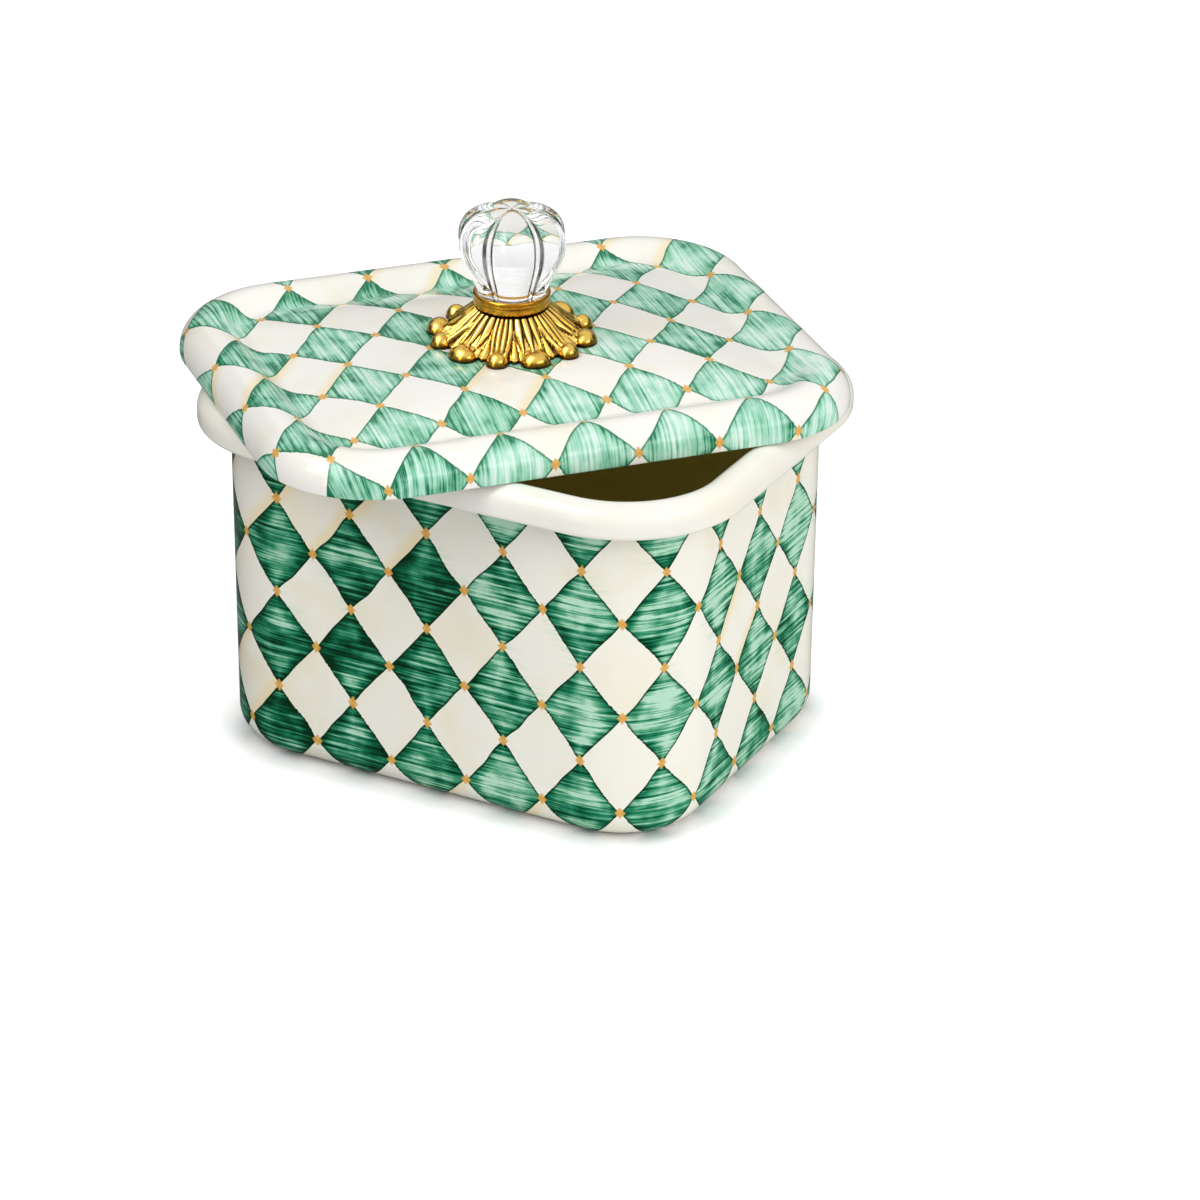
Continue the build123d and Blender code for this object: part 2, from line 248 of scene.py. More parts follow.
class Skin:
    """One mesh grown from closed rows of points, each with the marks that its finish reads."""

    def __init__(self):
        self.points = []
        self.faces = []
        self.marks = []
        self.slots = []
        self.last = None

    def row(self, points, marks=None, slot=0):
        """Adds a row. marks holds one more entry than the row, for the seam's far side."""
        first = len(self.points)
        self.points.extend(points)
        count = len(points)
        marks = marks or [(0.0, 0.0, 0.0)] * (count + 1)
        if self.last is not None:
            below, below_marks = self.last
            for step in range(count):
                ahead = (step + 1) % count
                self.faces.append((below + step, below + ahead, first + ahead, first + step))
                self.marks.append((below_marks[step], below_marks[step + 1],
                                   marks[step + 1], marks[step]))
                self.slots.append(slot)
        self.last = (first, marks)
        return first

    def shaded_row(self, points, shade):
        """Adds a row with one mark, the same all round."""
        return self.row(points, [(shade, 0.0, 0.0)] * (len(points) + 1))

    def cap(self, first, count, slot=0, below=False):
        """Closes a row with one flat face."""
        loop = tuple(range(first, first + count))
        self.faces.append(loop[::-1] if below else loop)
        self.marks.append(((0.0, 0.0, 0.0),) * count)
        self.slots.append(slot)

    def end(self):
        """The next row starts a new shell."""
        self.last = None

    def build(self, name, place, finishes, body, node):
        """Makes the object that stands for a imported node."""
        points = [(place @ Vector(point)) * MM for point in self.points]
        piece = new_object(name, points, self.faces)
        mesh = piece.data
        for finish in finishes:
            mesh.materials.append(finish)
        mesh.polygons.foreach_set("material_index", self.slots)
        mesh.polygons.foreach_set("use_smooth", [True] * len(self.faces))
        paint = mesh.attributes.new("paint", "FLOAT_VECTOR", "CORNER")
        flat = [value for face in self.marks for mark in face for value in mark]
        paint.data.foreach_set("vector", flat)
        mesh.update()
        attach(piece, body)
        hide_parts(node)
        return piece


class Tree:
    """Short calls for the nodes that a material or the world needs."""

    def __init__(self, tree):
        self.tree = tree

    def node(self, kind, **settings):
        node = self.tree.nodes.new("ShaderNode" + kind)
        for key, value in settings.items():
            setattr(node, key, value)
        return node

    def feed(self, socket, value):
        """Links a socket, or writes a constant into it."""
        if isinstance(value, bpy.types.NodeSocket):
            self.tree.links.new(value, socket)
        elif value is not None:
            socket.default_value = value

    def parts(self, value, kind="SeparateXYZ"):
        """The three parts of a vector or colour."""
        node = self.node(kind)
        self.feed(node.inputs[0], value)
        return node.outputs

    def math(self, operation, *values, clamp=False):
        node = self.node("Math", operation=operation, use_clamp=clamp)
        for socket, value in zip(node.inputs, values):
            self.feed(socket, value)
        return node.outputs[0]

    def invert(self, value):
        return self.math("SUBTRACT", 1.0, value)

    def times(self, *values):
        """Product of two or more values."""
        product = values[0]
        for value in values[1:]:
            product = self.math("MULTIPLY", product, value)
        return product

    def noise(self, vector, scale=1.0, detail=2.0, roughness=0.5):
        node = self.node("TexNoise")
        self.feed(node.inputs["Vector"], vector)
        node.inputs["Scale"].default_value = scale
        node.inputs["Detail"].default_value = detail
        node.inputs["Roughness"].default_value = roughness
        return node.outputs

    def ramp(self, value, *stops):
        """Colour by value. Each stop is (position, (red, green, blue)) in linear colour."""
        node = self.node("ValToRGB")
        elements = node.color_ramp.elements
        while len(elements) < len(stops):
            elements.new(0.5)
        for element, (position, colour) in zip(elements, stops):
            element.position = position
            element.color = (*colour, 1.0)
        self.feed(node.inputs[0], value)
        return node.outputs[0]

    def step(self, value, start, end, low=0.0, high=1.0):
        """low before start, high after end, smooth between."""
        node = self.node("MapRange", interpolation_type="SMOOTHSTEP")
        for socket, entry in zip(node.inputs, (value, start, end, low, high)):
            self.feed(socket, entry)
        return node.outputs[0]

    def span(self, value, low, high):
        """Maps 0..1 to low..high."""
        node = self.node("MapRange")
        for socket, entry in zip(node.inputs, (value, 0.0, 1.0, low, high)):
            self.feed(socket, entry)
        return node.outputs[0]

    def mix(self, share, first, second):
        node = self.node("Mix", data_type="RGBA")
        self.feed(node.inputs[0], share)
        for socket, value in ((node.inputs[6], first), (node.inputs[7], second)):
            self.feed(socket, (*value, 1.0) if isinstance(value, tuple) else value)
        return node.outputs[2]


class Finish(Tree):
    """A procedural material round one Principled shader."""

    def __init__(self, name, **constants):
        self.material = bpy.data.materials.new(name)
        self.material.use_nodes = True
        super().__init__(self.material.node_tree)
        self.shader = self.tree.nodes["Principled BSDF"]
        for socket, value in constants.items():
            self.shader.inputs[socket.replace("_", " ")].default_value = value

    def place(self, scale=(1.0, 1.0, 1.0), source=None, shift=None):
        """Where a point lies, in millimetres, stretched by scale. source defaults to the object."""
        if source is None:
            source = self.node("TexCoord").outputs["Object"]
            scale = tuple(value / MM for value in scale)
        node = self.node("Mapping")
        self.feed(node.inputs["Vector"], source)
        node.inputs["Scale"].default_value = scale
        self.feed(node.inputs["Location"], shift)
        return node.outputs[0]

    def paint(self):
        """The marks that a skin carries."""
        return self.node("Attribute", attribute_name="paint").outputs["Vector"]

    def bump(self, height, strength, distance):
        """distance is the height in millimetres of a full step."""
        node = self.node("Bump")
        node.inputs["Strength"].default_value = strength
        node.inputs["Distance"].default_value = distance * MM
        self.feed(node.inputs["Height"], height)
        self.feed(self.shader.inputs["Normal"], node.outputs[0])

    def set(self, socket, value):
        self.feed(self.shader.inputs[socket], value)


def srgb(red, green, blue):
    """Linear colour of a display colour given as 0..255."""
    def linear(value):
        value /= 255
        return value / 12.92 if value <= 0.04045 else ((value + 0.055) / 1.055) ** 2.4
    return linear(red), linear(green), linear(blue)


CREAMS = (srgb(251, 249, 241), srgb(248, 243, 226))         # plain and warm
BOX_CREAMS = (srgb(252, 249, 237), srgb(249, 242, 217))
OCHRE = srgb(232, 176, 84)
OCHRE_WASH = srgb(251, 228, 172)
DEEP_GREENS = (srgb(0, 48, 24), srgb(0, 94, 60), srgb(34, 136, 98), srgb(104, 182, 144),
               srgb(190, 232, 206))
PALE_GREENS = (srgb(10, 118, 80), srgb(116, 190, 156), srgb(160, 218, 190), srgb(190, 234, 212),
               srgb(224, 247, 236))


def cream_finish(name):
    """Plain cream enamel, a little uneven in tone and flow."""
    finish = Finish(name, IOR=1.5, Specular_IOR_Level=0.25)
    tone = finish.noise(finish.place(), scale=0.03)[0]
    finish.set("Base Color", finish.mix(finish.step(tone, 0.35, 0.75), *CREAMS))
    fine = finish.noise(finish.place(), scale=0.4, detail=3.0)[0]
    finish.set("Roughness", finish.span(fine, 0.08, 0.16))
    finish.bump(finish.noise(finish.place(), scale=0.08)[0], 0.25, 0.3)
    return finish.material


def lining_finish(name):
    """Straw gold lining enamel, which looks dark olive in the shade under the lid."""
    finish = Finish(name, IOR=1.5)
    tone = finish.noise(finish.place(), scale=0.05, detail=3.0)[0]
    finish.set("Base Color", finish.mix(tone, srgb(238, 226, 140), srgb(234, 220, 130)))
    finish.set("Roughness", finish.span(finish.noise(finish.place(), scale=0.5)[0], 0.25, 0.4))
    finish.bump(finish.noise(finish.place(), scale=0.3)[0], 0.2, 0.2)
    return finish.material


class Diamonds:
    """Where a point lies in the painted grid, from its place on the unrolled sheet."""

    def __init__(self, finish, place):
        wander = finish.parts(finish.noise(place, scale=0.07, detail=1.0)[1], "SeparateColor")
        ragged = finish.noise(place, scale=1.1, detail=2.0)[0]
        ragged = finish.times(finish.math("SUBTRACT", ragged, 0.5), BRISTLE)
        shares = []
        for spot, stray, size in zip(finish.parts(finish.paint()), wander,
                                     (DIAMOND_WIDTH, DIAMOND_HEIGHT)):
            stray = finish.times(finish.math("SUBTRACT", stray, 0.5), WANDER)
            moved = finish.math("ADD", finish.math("ADD", spot, ragged), stray)
            shares.append(finish.math("DIVIDE", moved, size))
        rising = finish.math("ADD", *shares)
        falling = finish.math("SUBTRACT", *shares)
        cell_rising = finish.math("FLOOR", rising)
        cell_falling = finish.math("FLOOR", falling)
        column = finish.math("ADD", cell_rising, cell_falling)

        # 1 in the green diamonds, 0 in the cream ones, and three chances that differ by diamond
        self.green = finish.math("FLOORED_MODULO", column, 2.0)
        cell = finish.node("CombineXYZ")
        finish.feed(cell.inputs[0], finish.math("SUBTRACT", cell_rising, cell_falling))
        finish.feed(cell.inputs[1], finish.math("FLOORED_MODULO", column, 2.0 * DIAMONDS_ROUND))
        chance = finish.node("TexWhiteNoise")
        finish.feed(chance.inputs["Vector"], cell.outputs[0])
        self.chance = chance.outputs["Color"]
        self.lots = finish.parts(self.chance, "SeparateColor")

        # Distance to the two pairs of sides, to the nearest side and to the nearest crossing
        side = DIAMOND_WIDTH * DIAMOND_HEIGHT / hypot(DIAMOND_WIDTH, DIAMOND_HEIGHT)
        self.gaps = []
        for share, whole in ((rising, cell_rising), (falling, cell_falling)):
            inside = finish.math("SUBTRACT", share, whole)
            gap = finish.math("MINIMUM", inside, finish.invert(inside))
            self.gaps.append(finish.times(gap, side))
        self.edge = finish.math("MINIMUM", *self.gaps)
        self.crossing = finish.math("MAXIMUM", *self.gaps)


def harlequin_finish(name, strokes_up, creams, greens, tones, contrast, gloss):
    """Green and cream diamonds, painted by hand over cream enamel.

    The mesh's paint marks give the place on the unrolled sheet in millimetres. Strokes run along
    the sheet's second direction where strokes_up is set, and otherwise level. greens go from the
    deepest to the palest. tones holds the mean tone on them at the middle and its rise with each
    millimetre to the right, and contrast spreads the strokes over them.
    """
    finish = Finish(name, IOR=1.5, Specular_IOR_Level=gloss)
    place = finish.place()
    grid = Diamonds(finish, place)
    middle_tone, tone_rise = tones

    # Brush strokes: long streaks that change from diamond to diamond
    offset = finish.node("VectorMath", operation="SCALE")
    finish.feed(offset.inputs[0], grid.chance)
    offset.inputs["Scale"].default_value = STROKE_SHIFT
    if strokes_up:
        strokes = finish.place((1.0, STROKE_STRETCH, 1.0), finish.paint(), offset.outputs[0])
    else:
        strokes = finish.place((STROKE_STRETCH, STROKE_STRETCH, 1.0), shift=offset.outputs[0])
    streak = finish.noise(strokes, scale=STROKE_SCALE, detail=5.0, roughness=0.65)[0]
    cloud = finish.noise(place, scale=0.11, detail=2.0)[0]
    pool = finish.invert(finish.step(grid.edge, 0.0, 4.5))
    tone = finish.math("MULTIPLY_ADD", streak, contrast, middle_tone - contrast / 2)
    tone = finish.math("MULTIPLY_ADD", finish.parts(place)[0], tone_rise, tone)
    tone = finish.math("MULTIPLY_ADD", finish.math("SUBTRACT", cloud, 0.5), 1.5, tone)
    tone = finish.math("MULTIPLY_ADD", finish.math("SUBTRACT", grid.lots[0], 0.5), 0.28, tone)
    tone = finish.math("MULTIPLY_ADD", pool, -0.32, tone, clamp=True)
    painted = finish.ramp(tone, *zip(spread(0.0, 1.0, len(greens)), greens))
    border = finish.invert(finish.step(grid.edge, 0.3, 1.0))
    painted = finish.mix(finish.times(border, 0.85), painted, greens[0])

    # Cream diamonds: nearly plain, with a faint wash of green or ochre dragged in at some edges
    warm = finish.step(finish.noise(place, scale=0.05)[0], 0.45, 0.8)
    plain = finish.mix(warm, *creams)
    wash = finish.times(finish.invert(finish.step(grid.gaps[0], 0.0, 6.0)),
                        finish.step(streak, 0.45, 0.65), finish.step(grid.lots[1], 0.55, 0.75))
    plain = finish.mix(finish.times(wash, 0.45), plain, greens[-1])
    blush = finish.times(finish.invert(finish.step(grid.gaps[1], 0.5, 5.0)),
                         finish.step(grid.lots[2], 0.7, 0.8))
    plain = finish.mix(finish.times(blush, 0.6), plain, OCHRE_WASH)
    colour = finish.mix(grid.green, plain, painted)

    # A small ochre lozenge where the diamonds meet
    stud = finish.invert(finish.step(grid.crossing, 1.1, 1.6))
    finish.set("Base Color", finish.mix(finish.times(stud, 0.92), colour, OCHRE))
    finish.set("Roughness", finish.span(streak, 0.07, 0.2))
    relief = finish.times(grid.green, finish.math("ADD", streak, 0.3))
    waves = finish.noise(place, scale=0.06)[0]
    finish.bump(finish.math("MULTIPLY_ADD", waves, 4.0, relief), 0.35, 0.05)
    return finish.material


def brass_finish(name):
    """Cast brass, bright on its crests. The mesh's paint marks give its painted shade in grooves
    and hollows.
    """
    finish = Finish(name, Metallic=1.0, Coat_Weight=0.15, Coat_Roughness=0.05)
    grain = finish.noise(finish.place(), scale=0.3, detail=2.0)[0]
    # Painted shade: the marks darken the brass towards black where the mesh says it lies in shade
    depth = finish.math("MULTIPLY_ADD", finish.math("SUBTRACT", grain, 0.5), 0.12,
                        finish.parts(finish.paint())[0])
    finish.set("Base Color", finish.ramp(depth, (0.0, srgb(246, 212, 116)),
                                         (0.25, srgb(210, 160, 46)), (0.5, srgb(84, 54, 2)),
                                         (0.75, srgb(18, 9, 0))))
    finish.set("Roughness", finish.span(depth, 0.22, 0.3))
    finish.bump(finish.noise(finish.place(), scale=0.25, detail=1.0)[0], 0.1, 0.05)
    return finish.material


def bronze_finish(name):
    """Turned and bronzed collar: satin, a touch redder than the skirt."""
    finish = Finish(name, Metallic=1.0)
    turned = finish.noise(finish.place((0.05, 0.05, 2.0)), scale=1.0, detail=1.0)[0]
    mottled = finish.noise(finish.place(), scale=0.1, detail=1.0)[0]
    finish.set("Base Color", finish.mix(mottled, srgb(226, 166, 62), srgb(182, 122, 28)))
    finish.set("Roughness", finish.span(turned, 0.15, 0.2))
    finish.bump(turned, 0.04, 0.03)
    return finish.material


def glass_finish(name):
    """Clear pressed glass with a faintly wavy skin.

    The mesh's paint marks say where painted dark lines go: shade that the grooves and the neck
    would show, tinted into the glass. They darken light on its way in only, so the lines at the
    back don't show as broad shadows through the front.
    """
    finish = Finish(name, IOR=1.5, Transmission_Weight=1.0)
    # Painted shade: the marks tint the glass black in patches along the grooves and at the neck
    patchy = finish.noise(finish.place((1.0, 1.0, 0.4)), scale=0.25, detail=2.0)[0]
    patchy = finish.span(finish.step(patchy, 0.3, 0.6), 0.9, 1.0)
    inside = finish.node("NewGeometry").outputs["Backfacing"]
    shade = finish.times(finish.parts(finish.paint())[0], patchy, finish.invert(inside))
    finish.set("Base Color", finish.mix(shade, (0.985, 0.995, 0.99), (0.0, 0.0, 0.0)))
    flow = finish.noise(finish.place(), scale=0.15, detail=1.0)[0]
    finish.set("Roughness", finish.span(flow, 0.0, 0.02))
    finish.bump(flow, 0.12, 0.3)
    return finish.material


def plain_finish(name, light, dark, roughness, **constants):
    """A grained finish between two tones, for the small fittings."""
    finish = Finish(name, **constants)
    grain = finish.noise(finish.place(), scale=0.6, detail=4.0, roughness=0.6)[0]
    finish.set("Base Color", finish.mix(grain, light, dark))
    finish.set("Roughness", finish.span(grain, *roughness))
    finish.bump(grain, 0.2, 0.08)
    return finish.material


def box_section():
    """Section of the box from under its base, up the wall, round the rolled rim and down inside.

    Gives its painted part, its cream part and its lining.
    """
    base_x = -WALL_TAPER - BASE_EDGE_RADIUS
    roll = (ROLL_RADIUS - SHEET, BOX_HEIGHT - ROLL_RADIUS)
    rise = roll[1] - BASE_EDGE_RADIUS
    hem = (RIM_OVERHANG - HEM_RADIUS, BOX_HEIGHT - RIM_DROP + HEM_RADIUS)
    lip = (hem[0] - HEM_RETURN, hem[1] - HEM_RADIUS + SHEET / 2)
    top = (-WALL_TAPER * (1 - (PATTERN_TOP - BASE_EDGE_RADIUS) / rise), PATTERN_TOP)
    inner_top = (-SHEET - WALL_TAPER * (roll[1] - LINING_TOP) / rise, LINING_TOP)
    painted = arc((base_x, BASE_EDGE_RADIUS), BASE_EDGE_RADIUS, 270, 360, 14)
    painted += line(painted[-1], top, 27)[1:]
    rim = line(top, (0, roll[1]), 3)[1:]
    rim += arc(roll, ROLL_RADIUS - SHEET, 180, 0, 10)[1:]
    rim += [(RIM_OVERHANG - SHEET, hem[1])]
    rim += arc(hem, HEM_RADIUS - SHEET, 0, -90, 4)[1:]
    rim += arc(lip, SHEET / 2, 90, 270, 7)
    rim += arc(hem, HEM_RADIUS, -90, 0, 10)
    rim += arc(roll, ROLL_RADIUS, 0, 180, 25)
    rim += [inner_top]
    lining = line(inner_top, (-SHEET - WALL_TAPER, BASE_EDGE_RADIUS), 12)[1:]
    lining += arc((base_x, BASE_EDGE_RADIUS), BASE_EDGE_RADIUS - SHEET, 0, -90, 8)[1:]
    return painted, rim, lining


def make_box_body(*finishes):
    """Closed shell of the box. Its marks are distances round it and up its section."""
    parts = box_section()
    section = [spot for part in parts for spot in part]
    slots = [slot for slot, part in enumerate(parts) for spot in part]
    columns = outline(BOX_LENGTH, BOX_DEPTH, BOX_CORNER_RADIUS)
    girth = columns[-1].distance + (columns[0].place - columns[-1].place).length
    painted_girth = DIAMOND_WIDTH * DIAMONDS_ROUND
    scale = painted_girth / girth
    distances = [column.distance * scale for column in columns] + [painted_girth]
    skin = Skin()
    starts = []
    for (offset, height), up, slot in zip(section, lengths(section), slots):
        points = [column.point(offset, height) for column in columns]
        starts.append(skin.row(points, [(distance, up, 0.0) for distance in distances], slot))
    skin.cap(starts[0], len(columns), 1, below=True)
    skin.cap(starts[-1], len(columns), 2)
    skin.build("box_shell", Matrix(), finishes, "box", "box_body")


def lid_border():
    """Upper and lower faces of the border's section, both from the edge in to the panel."""
    run = LID_VALLEY_INSET - LID_RIDGE_INSET
    slope = 2 * atan2(LID_VALLEY_DROP, run)
    bend = run / (2 * sin(slope))
    slope = degrees(slope)
    ridge = (-LID_RIDGE_INSET, LID_RIDGE - bend)
    valley = (-LID_VALLEY_INSET, LID_VALLEY + bend)
    shoulder = (-LID_RIDGE_INSET, LID_SKIRT)

    def face(depth):
        points = arc(shoulder, LID_RIDGE_INSET - depth, 0, 90, 20)
        points += arc(ridge, bend - depth, 90, 90 + slope, 8)[1:]
        points += arc(valley, bend + depth, 270 + slope, 270, 8)[1:]
        return points

    edge = arc((-SHEET / 2, SHEET / 2), SHEET / 2, -90, 0, 6)
    return edge + face(0.0), [(-SHEET, SHEET / 2)] + face(SHEET)


def crown_rows(drop, count):
    """Rows of the crowned panel from its edge to the seat, and on to the knob's hole."""
    length = LID_LENGTH - 2 * LID_VALLEY_INSET
    depth = LID_DEPTH - 2 * LID_VALLEY_INSET
    corner = LID_CORNER_RADIUS - LID_VALLEY_INSET
    rows = []
    for share in spread(0.0, 1.0, count)[1:]:
        columns = outline(length + (LID_SEAT_SIZE - length) * share,
                          depth + (LID_SEAT_SIZE - depth) * share,
                          corner + (LID_SEAT_CORNER - corner) * share)
        height = LID_VALLEY + LID_CROWN_RISE * sin(share * pi / 2) - drop
        rows.append([column.point(0.0, height) for column in columns])
    seat = rows[-1]
    for share in spread(0.0, 1.0, 5)[1:]:
        row = []
        for x, y, height in seat:
            reach = 1 - share * (1 - LID_HOLE_RADIUS / hypot(x, y))
            row.append((x * reach, y * reach, height))
        rows.append(row)
    return rows


def make_lid_pan(pattern, cream):
    """Closed shell of the lid: border, crowned panel, knob hole and underside.

    The upper side's marks are its places on the sheet laid flat.
    """
    columns = outline(LID_LENGTH, LID_DEPTH, LID_CORNER_RADIUS)
    upper, lower = lid_border()
    skin = Skin()

    def border_row(spot):
        return [column.point(*spot) for column in columns]

    for spot, run in zip(upper, lengths(upper[::-1])[::-1]):
        marks = border_row((run - LID_VALLEY_INSET, 0.0))
        skin.row(border_row(spot), marks + marks[:1])
    for row in crown_rows(0.0, 18):
        marks = [(x, y, 0.0) for x, y, height in row]
        skin.row(row, marks + marks[:1])
    under = crown_rows(SHEET, 10)[::-1] + [border_row(spot) for spot in lower[::-1] + upper[:1]]
    for row in under:
        skin.row(row, slot=1)
    skin.build("lid_shell", LID_PLACE, (pattern, cream), "lid", "lid_pan")


def petal_at(turn):
    """Where an angle round the skirt lies: its petal's kind, and -1 to 1 across the petal."""
    large, small = PETALS[0][0], PETALS[1][0]
    local = (turn - BEAD_TURN + large) % (360 / BEAD_PAIRS)
    if local < 2 * large:
        return 0, local / large - 1
    return 1, (local - 2 * large) / small - 1


def skirt_relief(kind, across, down):
    """Height of the cast relief over the plain skirt, and how much painted shade the point gets.

    across goes from -1 to 1 over a petal, and down from 0 at the neck to 1 at the edge.
    """
    ribs = PETALS[kind][1]
    width = 1 - (0.3 + 0.12 * kind) * smoothstep(0.3, 0.95, down)
    share = across / width
    fade = smoothstep(0.0, 0.06, down) * (1 - 0.55 * smoothstep(0.8, 0.97, down))
    if abs(share) < 1:
        body = 1 - share * share
        # A large petal's ribs narrow to points before its crest
        reach = 1.0 if kind else min(max((0.8 - down) / 0.5, 0.02), 1.0) ** 0.6
        rib = abs(((share + 1) / 2 * ribs) % 1 * 2 - 1)
        rib_height = max(1 - (rib / reach) ** 2.2, 0.0)
        crest = 0.0
        if CREST_START < down < CREST_END:
            crest = sin((down - CREST_START) / (CREST_END - CREST_START) * pi) * body
        relief = fade * (PETAL_BULGE * body ** 0.5 + RIB_HEIGHT * rib_height)
        relief += PETAL_CRESTS[kind] * crest
        beside = 1 - rib_height if rib < reach else max(1 - (rib - reach) / 0.3, 0.0)
        # Painted shade beside the ribs, less over the crests
        groove = beside ** 1.5 * (1 - 0.7 * crest)
    else:
        out = (abs(across) - width) / max(1 - width, 1e-6)
        leaf = sin(out * pi / 2) ** 0.7
        relief = fade * (LEAF_HEIGHT * leaf - LEAF_ROOT)
        groove = 1 - leaf
    # Painted shade: deeper in the valleys near the neck, and a dark ring of painted shadow just
    # under the collar
    groove = min(groove * (1 + 0.6 * (1 - smoothstep(0.05, 0.3, down))), 1.0)
    return relief, max(groove, 1 - smoothstep(0.02, 0.07, down))


def skirt_point(turn, down):
    """A point of the cast face, and how much painted shade it gets. turn is in degrees."""
    kind, across = petal_at(turn)
    aside = abs(across)
    notch = smoothstep(0.5, 0.75, aside) * (1 - smoothstep(0.75, 0.97, aside))
    edge = SKIRT_RADIUS - SKIRT_TIP_INSET + SCALLOP * (1 - across * across) - NOTCH * notch
    radius = SKIRT_NECK + (edge - SKIRT_NECK) * down
    height = SKIRT_EDGE + (SKIRT_HEIGHT - SKIRT_EDGE - 0.35) * (1 - down) ** 1.25
    relief, groove = skirt_relief(kind, across, down)
    tilt = radians(52 - 18 * down)
    radius += relief * sin(pi / 2 - tilt) * 0.9
    height += relief * sin(tilt) * (0.35 + 0.65 * smoothstep(0.0, 0.35, down))
    return polar(radius, radians(turn), height), groove


def add_beads(skin):
    """Domed beads round the skirt's edge, large and small in turn, each a shell of its own."""
    for index in range(2 * BEAD_PAIRS):
        turned = Matrix.Rotation(radians(BEAD_TURN + 180 * index / BEAD_PAIRS), 4, "Z")
        out, across, up = BEADS[index % 2]
        low = acos(-BEAD_LIFT / up)
        starts = []
        for step in range(BEAD_ROWS):
            tilt = low * (1 - step / BEAD_ROWS)
            ring = []
            for spin in range(BEAD_COLUMNS):
                swing = 2 * pi * spin / BEAD_COLUMNS
                ring.append(turned @ Vector((BEAD_RING_RADIUS + out * sin(tilt) * cos(swing),
                                             across * sin(tilt) * sin(swing),
                                             max(BEAD_LIFT + up * cos(tilt), 0.0))))
            # Painted shade: each bead darkens towards its foot
            starts.append(skin.shaded_row(ring, 0.12 + 0.48 * smoothstep(0.6, 1.0, tilt / low)))
        skin.cap(starts[0], BEAD_COLUMNS, below=True)
        skin.cap(starts[-1], BEAD_COLUMNS)
        skin.end()


def make_knob_base(finish):
    """Cast skirt with ribbed petals, leaf tips between them and beads round its edge."""
    turns = [360 * step / SKIRT_COLUMNS for step in range(SKIRT_COLUMNS)]
    skin = Skin()

    def plain(radius, height):
        return [polar(radius, radians(turn), height) for turn in turns]

    skin.row(plain(SKIRT_BORE, SKIRT_HEIGHT))
    # The hollow under the skirt is painted dark, as shade
    for radius, height in SKIRT_INSIDE:
        skin.shaded_row(plain(radius, height), 1.0)
    for index in range(SKIRT_ROWS):
        face = [skirt_point(turn, 1 - index / (SKIRT_ROWS - 1)) for turn in turns]
        if index == 0:
            # The skirt's underside edge gets painted shade
            skin.shaded_row([(x, y, 0.0) for (x, y, height), groove in face], 0.8)
        marks = [(groove, 0.0, 0.0) for point, groove in face]
        skin.row([point for point, groove in face], marks + marks[:1])
    # Painted shadow at the neck, under the collar
    skin.shaded_row(plain(SKIRT_NECK, SKIRT_HEIGHT - 0.3), 1.0)
    skin.row(plain(SKIRT_NECK - 0.3, SKIRT_HEIGHT))
    skin.row(plain(SKIRT_BORE, SKIRT_HEIGHT))
    skin.end()
    add_beads(skin)
    skin.build("knob_skirt", KNOB_PLACE, (finish,), "lid", "knob_base")


def make_knob_collar(finish):
    """Turned cup with a rounded lip, and the hub that plugs into the skirt."""
    bottom = SKIRT_HEIGHT
    top = bottom + COLLAR_HEIGHT
    lip = COLLAR_WALL / 2
    inner = COLLAR_RADIUS - COLLAR_WALL
    section = [(HUB_RADIUS, bottom - HUB_LENGTH), (HUB_RADIUS, bottom - 0.01)]
    section += [(COLLAR_RADIUS - 0.9, bottom)]
    section += arc((COLLAR_RADIUS - 0.9, bottom + 0.7), 0.7, -90, 0, 7)
    section += [(COLLAR_RADIUS - 0.1, bottom + 1.5), (COLLAR_RADIUS - 0.12, top - 2.2)]
    section += [(COLLAR_RADIUS - 0.3, top - 1.6)]
    section += arc((COLLAR_RADIUS - lip, top - lip), lip, -35, 180, 18)
    section += line((inner, top - lip), (inner, bottom + COLLAR_FLOOR), 4)[1:]
    skin = Skin()
    starts = [skin.row(circle(radius, height, COLLAR_COLUMNS)) for radius, height in section]
    skin.cap(starts[0], COLLAR_COLUMNS, below=True)
    skin.cap(starts[-1], COLLAR_COLUMNS)
    skin.build("knob_cup", KNOB_PLACE, (finish,), "lid", "knob_collar")


